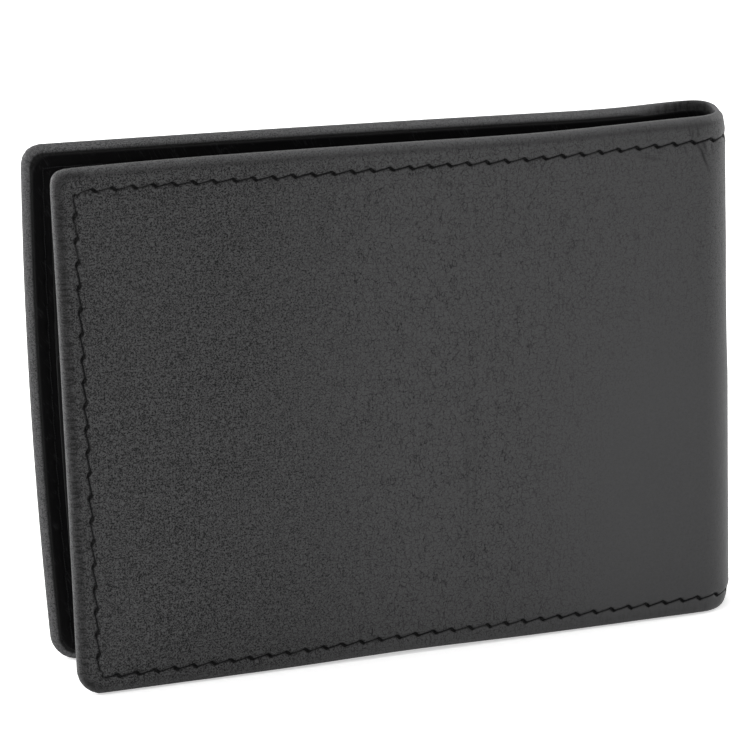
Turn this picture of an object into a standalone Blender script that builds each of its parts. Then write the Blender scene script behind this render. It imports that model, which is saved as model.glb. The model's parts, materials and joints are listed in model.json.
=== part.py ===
"""Folding card wallet in dark leather, standing slightly open on its lower edges.

The wallet is two halves joined by a narrow spine, with one crease on each side of the spine. Each half is
a leather cover with a rolled edge, a board inside the cover, an inner leather panel sewn over the cover's hem,
and three card slots with their mouths facing up. A single seam runs round each half and on across the spine.
The front half is flat. The rear half bows a little, and its top free corner leans out.

Metres, +Z up. X runs from the free edges to the spine, and the front half faces -Y. The origin is on the surface
that the wallet stands on. It lies between the middle of the footprint and the middle of the whole wallet with its
lean, 1.1 mm from the one and 0.6 mm from the other.
"""

import math

import bmesh
import bpy
from mathutils import Matrix

# Overall sizes, with the halves folded parallel
FOLDED_LENGTH = 0.102
HEIGHT = 0.075
FOLDED_THICKNESS = 0.012

# How far the halves stand apart at rest
OPENING_DEG = 6.0

# Soft shape of the rear half
REAR_LEAN = 0.0034
REAR_BOW = 0.00105
SWELL_START = 0.008
SWELL_COLUMNS = 5
SWELL_ROWS = 6

# Cover
EDGE_THICKNESS = 0.0024
COVER_LEATHER = 0.0009
CORNER_RADIUS = 0.0038
FOLD_CORNER_RADIUS = 0.0018
HEM_WIDTH = 0.008
FOLD_HEM_WIDTH = 0.004
FOOT_TRIM = 0.00012

# Board, inner panel and spine lining
PANEL_LEATHER = 0.0005
PANEL_INSET = 0.0013
PANEL_CORNER_RADIUS = 0.0028
PANEL_FOLD_MARGIN = 0.0028
LINING_MARGIN = 0.0029

# Card slots
SLOT_LEATHER = 0.0004
SLOT_CLOTH = 0.00022
SLOT_COUNT = 3
SLOT_STEP = 0.0105
SLOT_OVERLAP = 0.005
SLOT_TOP_MARGIN = 0.009
SLOT_FOLD_MARGIN = 0.008
SLOT_CORNER_RADIUS = 0.0012
POCKET_DEPTH = 0.0495

# Seam
STITCH_INSET = 0.0034
STITCH_CORNER_RADIUS = 0.0014
OUTER_THREAD = 0.0005
INNER_THREAD = 0.0004
THREAD_SINK = 0.0003

# Clearances
LAYER_GAP = 0.0003
CREASE_GAP = 0.0003
THREAD_END_GAP = 0.0004

# Facets
CORNER_STEPS = 6
EDGE_STEPS = 2
THREAD_STEPS = 1

# Sizes that follow from the ones above
EDGE_RADIUS = EDGE_THICKNESS / 2
HALF_REACH = FOLDED_LENGTH - EDGE_RADIUS
HALF_ANGLE = math.radians(OPENING_DEG / 2)
CREASE_X = (HALF_REACH - EDGE_RADIUS) * math.cos(HALF_ANGLE) / 2
CREASE_Y = FOLDED_THICKNESS / 2 - EDGE_RADIUS
MIDDLE_Y = -REAR_LEAN / 3
SWELL_REACH = HALF_REACH - SWELL_START
COVER_START = EDGE_RADIUS + CREASE_GAP
FLAT_START = COVER_START + EDGE_RADIUS
PANEL_DEPTH = EDGE_THICKNESS + LAYER_GAP
SLOT_DEPTH = PANEL_DEPTH + PANEL_LEATHER + LAYER_GAP
SLOT_PITCH = SLOT_LEATHER + LAYER_GAP
GROOVE_RADIUS = OUTER_THREAD / 2 + LAYER_GAP
SEAM_CLEARANCE = STITCH_INSET + INNER_THREAD / 2 + LAYER_GAP
SLOT_NAMES = ("upper", "middle", "lower")

# The side of each half: the front half faces -Y
FRONT = -1
REAR = 1


def clear_scene():
    for obj in list(bpy.data.objects):
        bpy.data.objects.remove(obj, do_unlink=True)


def new_collection(name, hidden=False):
    collection = bpy.data.collections.new(name)
    bpy.context.scene.collection.children.link(collection)
    collection.hide_render = hidden
    return collection


def new_material(name, color, roughness):
    material = bpy.data.materials.new(name)
    material.use_nodes = True
    shader = material.node_tree.nodes["Principled BSDF"]
    shader.inputs["Base Color"].default_value = (*color, 1.0)
    shader.inputs["Roughness"].default_value = roughness
    shader.inputs["Metallic"].default_value = 0.0
    material.diffuse_color = (*color, 1.0)
    return material


def arc(center_x, center_y, radius, start_deg, end_deg, steps=CORNER_STEPS):
    """Points on an arc, from one angle to the other."""
    angles = [start_deg + (end_deg - start_deg) * k / steps for k in range(steps + 1)]
    return [
        (center_x + radius * math.cos(math.radians(a)), center_y + radius * math.sin(math.radians(a)))
        for a in angles
    ]


def rounded_outline(x0, x1, z0, z1, free_radius, fold_radius):
    """Rectangle with its own corner radius at the low-x, free side and at the high-x, fold side."""
    corners = [
        arc(x0 + free_radius, z0 + free_radius, free_radius, 180, 270),
        arc(x1 - fold_radius, z0 + fold_radius, fold_radius, 270, 360),
        arc(x1 - fold_radius, z1 - fold_radius, fold_radius, 0, 90),
        arc(x0 + free_radius, z1 - free_radius, free_radius, 90, 180),
    ]
    return [point for corner in corners for point in corner]


def add_spline(curve, points, closed):
    spline = curve.splines.new("POLY")
    spline.points.add(len(points) - 1)
    for target, point in zip(spline.points, points):
        target.co = (*point, 1.0)
    spline.use_cyclic_u = closed


def mesh_from_curve(curve, turn):
    """The curve as a closed mesh, with its loose caps welded, turned into place."""
    obj = bpy.data.objects.new("curve", curve)
    bpy.context.scene.collection.objects.link(obj)
    bpy.context.view_layer.update()
    graph = bpy.context.evaluated_depsgraph_get()
    mesh = bpy.data.meshes.new_from_object(obj.evaluated_get(graph))
    bpy.data.objects.remove(obj, do_unlink=True)
    work = bmesh.new()
    work.from_mesh(mesh)
    bmesh.ops.remove_doubles(work, verts=work.verts, dist=1e-6)
    bmesh.ops.recalc_face_normals(work, faces=work.faces)
    bmesh.ops.transform(work, matrix=turn, verts=work.verts)
    work.to_mesh(mesh)
    work.free()
    return mesh


def plate_mesh(outline, thickness, y_middle, edge_radius=0.0):
    """Flat sheet standing in the XZ plane. With an edge radius, the outline is that of its flat faces."""
    curve = bpy.data.curves.new("outline", "CURVE")
    curve.dimensions = "2D"
    curve.fill_mode = "BOTH"
    curve.extrude = thickness / 2 - edge_radius
    curve.bevel_depth = edge_radius
    curve.bevel_resolution = EDGE_STEPS
    add_spline(curve, [(x, z, 0.0) for x, z in outline], True)
    stand_up = Matrix.Rotation(math.radians(90), 4, "X")
    return mesh_from_curve(curve, Matrix.Translation((0.0, y_middle, 0.0)) @ stand_up)


def tube_curve(name, path, radius):
    curve = bpy.data.curves.new(name, "CURVE")
    curve.dimensions = "3D"
    curve.bevel_depth = radius
    curve.bevel_resolution = THREAD_STEPS
    curve.use_fill_caps = True
    add_spline(curve, path, False)
    return curve


def add_object(name, data, collection, material=None, parent=None):
    obj = bpy.data.objects.new(name, data)
    collection.objects.link(obj)
    obj.parent = parent
    if material:
        data.materials.append(material)
    return obj


def cut(target, mesh, cutters, parent=None):
    """Cuts a mesh out of the target. The cutter stays in its own collection."""
    cutter = add_object(target.name + "_cutter", mesh, cutters, parent=parent)
    cutter.hide_render = True
    cutter.display_type = "WIRE"
    modifier = target.modifiers.new("cut", "BOOLEAN")
    modifier.operation = "DIFFERENCE"
    modifier.solver = "EXACT"
    modifier.object = cutter


def box_mesh(low, high):
    mesh = bpy.data.meshes.new("box")
    work = bmesh.new()
    bmesh.ops.create_cube(work, size=1.0)
    for vert in work.verts:
        vert.co = [lo + (hi - lo) * (c + 0.5) for lo, hi, c in zip(low, high, vert.co)]
    work.to_mesh(mesh)
    work.free()
    return mesh


def outward(side, depth):
    """Local y of a layer at this depth below the outer face, with the crease axis at 0."""
    return side * (EDGE_RADIUS - depth)


def seam_path(side, depth, start):
    """Open seam of one half: from the fold along the top, down the free edge and back along the bottom."""
    free = -(HALF_REACH - STITCH_INSET)
    low = STITCH_INSET
    high = HEIGHT - STITCH_INSET
    radius = STITCH_CORNER_RADIUS
    flat = [(-start, high)]
    flat += arc(free + radius, high - radius, radius, 90, 180)
    flat += arc(free + radius, low + radius, radius, 180, 270)
    flat += [(-start, low)]
    return [(x, outward(side, depth), z) for x, z in flat]


def add_foot_cut(cover, cutters, parent=None):
    """Trims the rounded lower edge to a narrow flat at the height of the surface below."""
    reach = FOLDED_LENGTH * 2
    cut(cover, box_mesh((-reach, -reach, -EDGE_THICKNESS), (reach, reach, 0.0)), cutters, parent)


def make_cover(side, name, collection, cutters, leather, parent):
    outline = rounded_outline(
        -(HALF_REACH - EDGE_RADIUS),
        -FLAT_START,
        EDGE_RADIUS - FOOT_TRIM,
        HEIGHT - EDGE_RADIUS,
        CORNER_RADIUS - EDGE_RADIUS,
        FOLD_CORNER_RADIUS - EDGE_RADIUS,
    )
    cover = add_object(name, plate_mesh(outline, EDGE_THICKNESS, 0.0, EDGE_RADIUS), collection, leather, parent)
    add_foot_cut(cover, cutters, parent)
    inside = sorted((outward(side, COVER_LEATHER), outward(side, EDGE_THICKNESS + LAYER_GAP)))
    window = box_mesh(
        (-(HALF_REACH - HEM_WIDTH), inside[0], HEM_WIDTH),
        (-(COVER_START + FOLD_HEM_WIDTH), inside[1], HEIGHT - HEM_WIDTH),
    )
    cut(cover, window, cutters, parent)
    groove = tube_curve("groove", seam_path(side, THREAD_SINK, 0.0), GROOVE_RADIUS)
    cut(cover, mesh_from_curve(groove, Matrix.Identity(4)), cutters, parent)


def make_board(side, name, collection, card, parent):
    inset = HEM_WIDTH + LAYER_GAP
    high_x = -(COVER_START + FOLD_HEM_WIDTH + LAYER_GAP)
    top_depth = EDGE_THICKNESS - LAYER_GAP
    faces = sorted((outward(side, COVER_LEATHER + LAYER_GAP), outward(side, top_depth)))
    mesh = box_mesh(
        (-(HALF_REACH - inset), faces[0], inset),
        (high_x, faces[1], HEIGHT - inset),
    )
    add_object(name, mesh, collection, card, parent)


def make_inner_panel(side, name, collection, leather, parent):
    outline = rounded_outline(
        -(HALF_REACH - PANEL_INSET),
        -PANEL_FOLD_MARGIN,
        PANEL_INSET,
        HEIGHT - PANEL_INSET,
        PANEL_CORNER_RADIUS,
        SLOT_CORNER_RADIUS,
    )
    middle = outward(side, PANEL_DEPTH + PANEL_LEATHER / 2)
    add_object(name, plate_mesh(outline, PANEL_LEATHER, middle), collection, leather, parent)


def make_slots(side, half, collection, leather, cloth, parent):
    """Staggered slots, the upper one nearest the inner panel. Each but the lowest goes on down as thin cloth."""
    x0 = -(HALF_REACH - SEAM_CLEARANCE)
    x1 = -SLOT_FOLD_MARGIN
    for order in range(SLOT_COUNT):
        lowest = order == SLOT_COUNT - 1
        mouth = HEIGHT - SLOT_TOP_MARGIN - order * SLOT_STEP
        foot = SEAM_CLEARANCE if lowest else mouth - SLOT_STEP - SLOT_OVERLAP
        middle = outward(side, SLOT_DEPTH + order * SLOT_PITCH + SLOT_LEATHER / 2)
        outline = rounded_outline(x0, x1, foot, mouth, SLOT_CORNER_RADIUS, SLOT_CORNER_RADIUS)
        name = f"slot_{SLOT_NAMES[order]}_{half}"
        add_object(name, plate_mesh(outline, SLOT_LEATHER, middle), collection, leather, parent)
        if lowest:
            continue
        bottom = max(mouth - POCKET_DEPTH, SEAM_CLEARANCE)
        outline = rounded_outline(x0, x1, bottom, foot - LAYER_GAP, SLOT_CORNER_RADIUS, SLOT_CORNER_RADIUS)
        name = f"pocket_cloth_{SLOT_NAMES[order]}_{half}"
        add_object(name, plate_mesh(outline, SLOT_CLOTH, middle), collection, cloth, parent)


def make_seam(side, half, collection, outer_thread, inner_thread, parent):
    """Top thread in the groove of the cover, and bobbin thread on the inner panel."""
    outer = seam_path(side, THREAD_SINK, FLAT_START + THREAD_END_GAP)
    add_object(
        f"thread_outer_{half}", tube_curve("outer", outer, OUTER_THREAD / 2), collection, outer_thread, parent
    )
    depth = PANEL_DEPTH + PANEL_LEATHER + LAYER_GAP + INNER_THREAD / 2
    inner = seam_path(side, depth, PANEL_FOLD_MARGIN + SLOT_CORNER_RADIUS + THREAD_END_GAP)
    add_object(
        f"thread_inner_{half}", tube_curve("inner", inner, INNER_THREAD / 2), collection, inner_thread, parent
    )


def swell(x, z):
    """How far the rear half stands out from its plane: a lean that eases in with height and grows towards the free
    edge, and a bow at mid length."""
    reach = max(-x - SWELL_START, 0.0) / SWELL_REACH
    height = z / HEIGHT
    return REAR_LEAN * reach * height**2 * (3 - 2 * height) + REAR_BOW * 4 * reach * (1 - reach)


def swell_piece(obj, collection):
    """The finished piece with its faces divided along a grid of planes and its points moved out by the swell."""
    graph = bpy.context.evaluated_depsgraph_get()
    mesh = bpy.data.meshes.new_from_object(obj.evaluated_get(graph))
    work = bmesh.new()
    work.from_mesh(mesh)
    bmesh.ops.remove_doubles(work, verts=work.verts, dist=1e-6)
    columns = [(-SWELL_START - SWELL_REACH * k / SWELL_COLUMNS, 0.0, 0.0) for k in range(SWELL_COLUMNS)]
    rows = [(0.0, 0.0, HEIGHT * k / SWELL_ROWS) for k in range(1, SWELL_ROWS)]
    for normal, places in (((1.0, 0.0, 0.0), columns), ((0.0, 0.0, 1.0), rows)):
        for place in places:
            geometry = work.verts[:] + work.edges[:] + work.faces[:]
            bmesh.ops.bisect_plane(work, geom=geometry, dist=1e-6, plane_co=place, plane_no=normal)
    for vert in work.verts:
        vert.co.y += swell(vert.co.x, vert.co.z)
    bmesh.ops.triangulate(work, faces=work.faces)
    bmesh.ops.recalc_face_normals(work, faces=work.faces)
    work.to_mesh(mesh)
    work.free()
    name, parent = obj.name, obj.parent
    bpy.data.objects.remove(obj, do_unlink=True)
    add_object(name, mesh, collection, parent=parent)


def make_half(side, half, collection, cutters, materials):
    """One half of the wallet, on an empty that stands on its crease."""
    pivot = bpy.data.objects.new(f"pivot_{half}", None)
    collection.objects.link(pivot)
    pivot.location = (CREASE_X, MIDDLE_Y + side * CREASE_Y, 0.0)
    pivot.rotation_euler = (0.0, 0.0, -side * HALF_ANGLE)
    make_cover(side, f"cover_{half}", collection, cutters, materials["cover"], pivot)
    make_board(side, f"board_{half}", collection, materials["board"], pivot)
    make_inner_panel(side, f"inner_panel_{half}", collection, materials["lining"], pivot)
    make_slots(side, half, collection, materials["slot"], materials["cloth"], pivot)
    make_seam(side, half, collection, materials["thread"], materials["bobbin"], pivot)
    bpy.context.view_layer.update()
    if side == REAR:
        pieces = [obj for obj in pivot.children if obj.name in collection.objects]
        for piece in pieces:
            swell_piece(piece, collection)


def spine_row(x, z, reach):
    return [(x, MIDDLE_Y - reach, z), (x, MIDDLE_Y + reach, z)]


def make_spine(collection, cutters, materials):
    """Narrow strip between the creases, with its round sides centred on them, and its lining."""
    turn = Matrix.Rotation(math.radians(90), 4, "Z")
    outer_x = CREASE_X + EDGE_RADIUS
    corner = FOLD_CORNER_RADIUS - EDGE_RADIUS
    outline = rounded_outline(
        -CREASE_Y, CREASE_Y, EDGE_RADIUS - FOOT_TRIM, HEIGHT - EDGE_RADIUS, corner, corner
    )
    mesh = plate_mesh(outline, EDGE_THICKNESS, 0.0, EDGE_RADIUS)
    mesh.transform(Matrix.Translation((CREASE_X, MIDDLE_Y, 0.0)) @ turn)
    spine = add_object("cover_spine", mesh, collection, materials["cover"])
    add_foot_cut(spine, cutters)

    half_width = FOLDED_THICKNESS / 2 - LINING_MARGIN
    outline = rounded_outline(
        -half_width, half_width, PANEL_INSET, HEIGHT - PANEL_INSET, SLOT_CORNER_RADIUS, SLOT_CORNER_RADIUS
    )
    lining_x = outer_x - PANEL_DEPTH - PANEL_LEATHER / 2
    mesh = plate_mesh(outline, PANEL_LEATHER, 0.0)
    mesh.transform(Matrix.Translation((lining_x, MIDDLE_Y, 0.0)) @ turn)
    add_object("spine_lining", mesh, collection, materials["lining"])

    inner_x = lining_x - PANEL_LEATHER / 2 - LAYER_GAP - INNER_THREAD / 2
    for end, z in (("top", HEIGHT - STITCH_INSET), ("bottom", STITCH_INSET)):
        row = spine_row(outer_x - THREAD_SINK, z, FOLDED_THICKNESS)
        groove = tube_curve("groove", row, GROOVE_RADIUS)
        cut(spine, mesh_from_curve(groove, Matrix.Identity(4)), cutters)
        row = spine_row(outer_x - THREAD_SINK, z, CREASE_Y - THREAD_END_GAP)
        thread = tube_curve("outer", row, OUTER_THREAD / 2)
        add_object(f"thread_outer_spine_{end}", thread, collection, materials["thread"])
        row = spine_row(inner_x, z, half_width - THREAD_END_GAP)
        thread = tube_curve("inner", row, INNER_THREAD / 2)
        add_object(f"thread_inner_spine_{end}", thread, collection, materials["bobbin"])


def main():
    clear_scene()
    wallet = new_collection("card_wallet")
    cutters = new_collection("cutters", hidden=True)
    materials = {
        "cover": new_material("cover_leather", (0.045, 0.045, 0.047), 0.55),
        "lining": new_material("lining_leather", (0.022, 0.022, 0.023), 0.5),
        "slot": new_material("slot_leather", (0.030, 0.030, 0.031), 0.5),
        "cloth": new_material("pocket_cloth", (0.018, 0.018, 0.019), 0.9),
        "board": new_material("filler_board", (0.28, 0.24, 0.19), 0.9),
        "thread": new_material("black_thread", (0.010, 0.010, 0.011), 0.6),
        "bobbin": new_material("bobbin_thread", (0.014, 0.014, 0.015), 0.6),
    }
    make_half(FRONT, "front", wallet, cutters, materials)
    make_half(REAR, "rear", wallet, cutters, materials)
    make_spine(wallet, cutters, materials)


main()
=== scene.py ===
"""Looks of a small folding card wallet in leather, laid out as a Blender add-on and run as a script.

Every leather piece is a sheet worked out on a grid. A point of it has three coordinates: the way, which is
its distance along the leather from the middle of the spine, its height z, and out, its distance outwards from
the middle of the cover. One function, place, bends them round the fold and gives each half its soft warp.
"""

import json
import math

import bmesh
import bpy
import numpy as np
from mathutils import Matrix, Vector


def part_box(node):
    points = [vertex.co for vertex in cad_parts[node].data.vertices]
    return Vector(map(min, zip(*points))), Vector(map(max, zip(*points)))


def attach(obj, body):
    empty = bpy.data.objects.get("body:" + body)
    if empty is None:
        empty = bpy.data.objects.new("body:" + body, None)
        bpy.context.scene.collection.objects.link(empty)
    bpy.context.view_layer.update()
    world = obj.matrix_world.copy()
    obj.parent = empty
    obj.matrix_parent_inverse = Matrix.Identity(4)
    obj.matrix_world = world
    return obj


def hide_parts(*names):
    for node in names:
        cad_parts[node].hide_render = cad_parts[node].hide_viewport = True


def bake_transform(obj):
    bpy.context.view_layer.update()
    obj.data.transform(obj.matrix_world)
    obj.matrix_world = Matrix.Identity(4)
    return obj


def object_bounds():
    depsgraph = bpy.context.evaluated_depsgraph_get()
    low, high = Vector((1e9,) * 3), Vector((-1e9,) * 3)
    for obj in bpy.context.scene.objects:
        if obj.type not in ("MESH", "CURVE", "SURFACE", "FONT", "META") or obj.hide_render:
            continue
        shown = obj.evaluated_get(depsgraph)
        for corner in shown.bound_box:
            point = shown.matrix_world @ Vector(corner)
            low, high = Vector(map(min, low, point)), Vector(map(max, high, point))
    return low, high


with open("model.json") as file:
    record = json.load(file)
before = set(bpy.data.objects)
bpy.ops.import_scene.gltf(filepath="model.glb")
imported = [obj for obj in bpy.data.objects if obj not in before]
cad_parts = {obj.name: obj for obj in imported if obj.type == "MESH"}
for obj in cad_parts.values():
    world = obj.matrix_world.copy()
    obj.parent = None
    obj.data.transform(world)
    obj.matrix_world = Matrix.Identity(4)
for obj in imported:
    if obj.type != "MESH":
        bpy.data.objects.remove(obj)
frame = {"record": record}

bl_info = {
    "name": "Card wallet looks",
    "version": (1, 0, 0),
    "blender": (4, 5, 0),
    "location": "3D View > Sidebar > Wallet",
    "description": "Builds the leather, lining, card slots and seam of a folding card wallet",
    "category": "Object",
}

MM = 0.001
FRONT = -1
REAR = 1

# Sizes read from the frame
CAD_LOW, CAD_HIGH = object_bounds()
MOUNTS = {mount["name"]: mount for mount in frame["record"]["mounts"]}
JOINTS = {joint["name"]: joint for joint in frame["record"]["behaviour"]["joints"]}
CREASE_X, REAR_CREASE = JOINTS["rear_fold"]["pos_m"][:2]
FRONT_CREASE = JOINTS["front_fold"]["pos_m"][1]
CREASE_Y = (REAR_CREASE - FRONT_CREASE) / 2
MIDDLE_Y = (REAR_CREASE + FRONT_CREASE) / 2
HALF_ANGLE = math.asin(MOUNTS["front_face"]["axis"][0])
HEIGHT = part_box("cover_front")[1][2]
EDGE_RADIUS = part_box("cover_spine")[1][0] - CREASE_X
HALF_REACH = (CREASE_X - CAD_LOW[0] - EDGE_RADIUS) / math.cos(HALF_ANGLE) + EDGE_RADIUS

# Sheets. The floor presses FOOT_TRIM of the cover's lower edge flat
CORNER_RADIUS = 3.8 * MM
FOOT_TRIM = 0.12 * MM
PANEL_INSET = 1.4 * MM
PANEL_CORNER_RADIUS = 2.8 * MM
PANEL_HALF_THICKNESS = 0.25 * MM
SLOT_CORNER_RADIUS = 1.2 * MM
SLOT_HALF_THICKNESS = 0.2 * MM
CLOTH_HALF_THICKNESS = 0.11 * MM
BOARD_CORNER_RADIUS = 1.0 * MM
BOARD_HALF_THICKNESS = 0.4 * MM
BOARD_LEVEL = -0.2 * MM
LAYER_AIR = 0.05 * MM
SHARP_ANGLE = math.radians(80)

# Waves of the top and bottom edges, in mm: height, width, way of the crest
TOP_WAVES = {FRONT: ((0.4, 24, 88), (-0.4, 18, 32)), REAR: ((0.6, 9, 6),)}
FOOT_WAVES = {FRONT: ((0.25, 14, 54),), REAR: ()}
FOOT_RISE = {FRONT: 0.1, REAR: 0.0}

# Seam, counted in stitches from the middle of the spine round the half, as HOLE_LENGTH is
TOP_INSET = 3.2 * MM
TOP_SAG, SAG_LENGTH = 0.35 * MM, 30 * MM
SIDE_INSET = 3.0 * MM
BOTTOM_INSET = 2.45 * MM
TOP_STITCHES = 35
SIDE_STITCHES = 21
BOTTOM_STITCHES = 36
SIDE_END = TOP_STITCHES + SIDE_STITCHES
STITCHES = SIDE_END + BOTTOM_STITCHES
TOP_LINE = HEIGHT - TOP_INSET
SIDE_PITCH = (TOP_LINE - BOTTOM_INSET) / SIDE_STITCHES
HOLE_LENGTH = 0.15
SEAM_CORNER = 1.4 * MM
STITCH_SINK = 0.2 * MM
BOBBIN_AIR = 0.02 * MM

# Creases drawn in the cover, in mm: way and z of both ends, width, depth (of the bump and of the painted
# shade)
CREASES = (
    (8.2, 71.8, 6.5, 67.2, 0.24, 1.0), (7.3, 71.6, 6.8, 69.6, 0.22, 0.7), (6.2, 71.4, 5.8, 69.8, 0.2, 0.5),
    (17.6, 70.5, 13.6, 69.4, 0.24, 0.4), (9.4, 73.9, 9.2, 72.4, 0.18, 0.7), (8.7, 73.6, 8.9, 72.0, 0.18, 0.6),
    (8.0, 74.1, 7.7, 72.2, 0.18, 0.6), (10.2, 71.4, 9.6, 69.6, 0.22, 0.4),
    (44.5, 41.0, 45.0, 11.0, 0.32, 0.2), (43.2, 39.0, 43.9, 14.0, 0.28, 0.16),
)

# Pleats at the free corners: turns round the corner and width, in radians, and depth
PLEAT_TURNS = (0.28, 0.52, 0.8, 1.06, 1.3)
PLEAT_WIDTH = 0.07
PLEAT_DEPTH = 0.16 * MM

# Value of the surface patterns on a sheet's closed back
FAR_OFF = 50.0

# Noise lattice, in cells a side
LATTICE = 97

# Lamps, in metres and watts: name, place, size, power
LAMPS = (
    ("left", (-0.6, 0.42, 0.25), 0.35, 6.5),
    ("top", (-0.1, 0.05, 0.7), 0.5, 3.8),
    ("front", (-0.5, -0.8, 0.12), 0.6, 2.2),
    ("rim", (0.55, 0.1, 0.25), 0.35, 1.5),
)

# Stage. The floor glows more with distance, and so stays white in low views
FLOOR_REACH = 4.0
FLOOR_GREY = (0.9, 0.9, 0.9, 1.0)
FLOOR_GLOW = 0.5
GLOW_NEAR, GLOW_FAR = 0.25, 0.9
WORLD_LIGHT = 0.3

# Camera, in mm: where it stands and what it looks at, from the fold's middle, lens and sensor
CAMERA_STAND = (-143.84, -512.74, 168.46)
CAMERA_TARGET = (-2.95, 0.0, 39.77)
CAMERA_ROLL = math.radians(-1.716)
LENS, SENSOR_WIDTH = 181.2, 36.0


class Half:
    """Plan of the cover's middle on one side: straight from the middle of the spine to the bend, an arc of
    the bend's radius, then straight to the free edge. Square is the power of the cover's upper corners."""

    turn = math.pi / 2 - HALF_ANGLE

    def __init__(self, name, side, bend, square):
        self.name, self.side, self.bend, self.square = name, side, bend, square
        tangent = bend * math.tan(self.turn / 2)
        self.straight = CREASE_Y - tangent
        self.bent = self.straight + bend * self.turn
        self.start = self.bent - tangent
        self.end = self.start + HALF_REACH
        self.top_pitch = (self.end - SIDE_INSET) / TOP_STITCHES
        self.bottom_pitch = (self.end - SIDE_INSET) / BOTTOM_STITCHES

    def path(self, way):
        """Points and outward normals of the plan, mirrored to y over 0."""
        angle = np.clip((way - self.straight) / self.bend, 0, self.turn)
        beyond = np.maximum(way - self.bent, 0)
        x = CREASE_X + self.bend * (np.cos(angle) - 1) - beyond * math.cos(HALF_ANGLE)
        y = np.minimum(way, self.straight) + self.bend * np.sin(angle) + beyond * math.sin(HALF_ANGLE)
        return x, y, np.cos(angle), np.sin(angle)

    def reach(self, way):
        """Share of the half's length: 0 at its start, 1 at its free edge."""
        return np.clip((way - self.start) / HALF_REACH, 0, 1)

    def own(self, key):
        """One of the user's shape values, this half's own."""
        return getattr(shape(), f"{key}_{self.name}")


HALVES = (Half("front", FRONT, 4.8 * MM, 4.0), Half("rear", REAR, 2.7 * MM, 2.8))


def length(name, description, default, **limits):
    return bpy.props.FloatProperty(
        name=name, description=description, default=default, unit="LENGTH", **limits
    )


def colour(name, description, default):
    return bpy.props.FloatVectorProperty(
        name=name, description=description, default=default, min=0.0, max=1.0, subtype="COLOR"
    )


class WalletShape(bpy.types.PropertyGroup):
    """Soft shape of the leather, beyond the flat construction."""

    lean_front: length("Front lean", "Outward drift of the front half's top free corner", -0.84 * MM)
    lean_rear: length("Rear lean", "Outward drift of the rear half's top free corner", 3.4 * MM)
    belly_front: length("Front belly", "Outward bow of the front free edge at mid height", 0.13 * MM)
    belly_rear: length("Rear belly", "Outward bow of the rear free edge at mid height", 1.7 * MM)
    bow_front: length("Front bow", "Outward bow of the front half at mid length", 0.16 * MM)
    bow_rear: length("Rear bow", "Outward bow of the rear half at mid length", 1.05 * MM)
    edge_front: length("Front edge bow", "Outward bow of the front free edge in its own plane", -0.08 * MM)
    edge_rear: length("Rear edge bow", "Outward bow of the rear free edge in its own plane", 0.7 * MM)
    spine_bulge: length("Spine bulge", "How far the spine bulges outwards", 0.7 * MM, min=0.0)
    spine_pinch: length("Spine pinch", "How far the fold draws in at its foot", 0.8 * MM, min=0.0)
    fold_thinning: bpy.props.FloatProperty(
        name="Thinning at the fold", description="Share of the cover's inner half left at the fold",
        default=0.12, min=0.1, max=1.0, subtype="FACTOR",
    )
    stitch_slant: length("Stitch slant", "How far a stitch strays to either side", 0.2 * MM, min=0.0)


class WalletColours(bpy.types.PropertyGroup):
    """Colours of the wallet."""

    cover: colour("Cover leather", "Colour of the outer leather", (0.053, 0.053, 0.054))
    # The lining colour is near black, darker than the leather's own, so it also holds painted shade of the
    # closed wallet's inside
    lining: colour("Lining leather", "Colour of the panels and the spine lining", (0.0045, 0.0045, 0.0047))
    slot: colour("Slot leather", "Colour of the card slots", (0.005, 0.005, 0.0052))
    cloth: colour("Pocket cloth", "Colour of the cloth behind the card slots", (0.006, 0.006, 0.0065))
    board: colour("Filler board", "Colour of the board inside each cover", (0.28, 0.24, 0.19))
    thread: colour("Thread", "Colour of the seam's thread", (0.006, 0.006, 0.0065))


def shape():
    return bpy.context.scene.wallet_shape


def colours():
    return bpy.context.scene.wallet_colours


def ease(t):
    """Smooth step: 0 below 0, 1 above 1, with level ends."""
    t = np.clip(t, 0.0, 1.0)
    return t * t * (3 - 2 * t)


def hump(at, width, middle=0.0):
    """Bell curve of height 1 at its middle, falling to 1/e at its width from there. Both are in mm."""
    t = (at - middle * MM) / (width * MM)
    return np.exp(-t * t)


def soft_noise(u, v, cell_u, cell_v, seed):
    """Smooth noise from -1 to 1: random values on a lattice of cells, in mm, eased from point to point."""
    lattice = np.random.default_rng(seed).uniform(-1, 1, (LATTICE, LATTICE))
    a, b = u / (cell_u * MM), v / (cell_v * MM)
    i, j = np.floor(a).astype(int), np.floor(b).astype(int)
    s, t = ease(a - i), ease(b - j)
    next_i, next_j = (i + 1) % LATTICE, (j + 1) % LATTICE
    i, j = i % LATTICE, j % LATTICE
    near = lattice[i, j] * (1 - s) + lattice[next_i, j] * s
    far = lattice[i, next_j] * (1 - s) + lattice[next_i, next_j] * s
    return near * (1 - t) + far * t


def sag(half, way):
    """How far the top row of stitches sags below its inset, away from the free corner."""
    return TOP_SAG * ease((half.end - SIDE_INSET - way) / SAG_LENGTH)


def drift(half, way, z):
    """Outward warp of a half: a lean, a belly at mid height and a bow at mid length. It grows along the half
    as a hyperbola with a soft start."""
    lean, belly, bow = (half.own(key) for key in ("lean", "belly", "bow"))
    start = 0.08
    grow = (np.hypot(half.reach(way), start) - start) / (math.hypot(1, start) - start)
    level = 2 * z / HEIGHT - 1
    return grow * (lean * level + belly * (1 - level**2)) + bow * 4 * grow * (1 - grow)


def lift(half, way, z):
    """How far the top and bottom edges wander, in bell-shaped waves. Those of one edge fade towards the other
    edge, and all fade towards the middle of the spine."""
    top, foot = (
        sum(height * hump(way, width, crest) for height, width, crest in waves[half.side])
        for waves in (TOP_WAVES, FOOT_WAVES)
    )
    foot = FOOT_RISE[half.side] + foot
    level = z / HEIGHT
    return MM * ease(way / (5 * MM)) * (top * ease(level * 1.6 - 0.6) + foot * (1 - ease(level * 1.6)))


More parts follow.
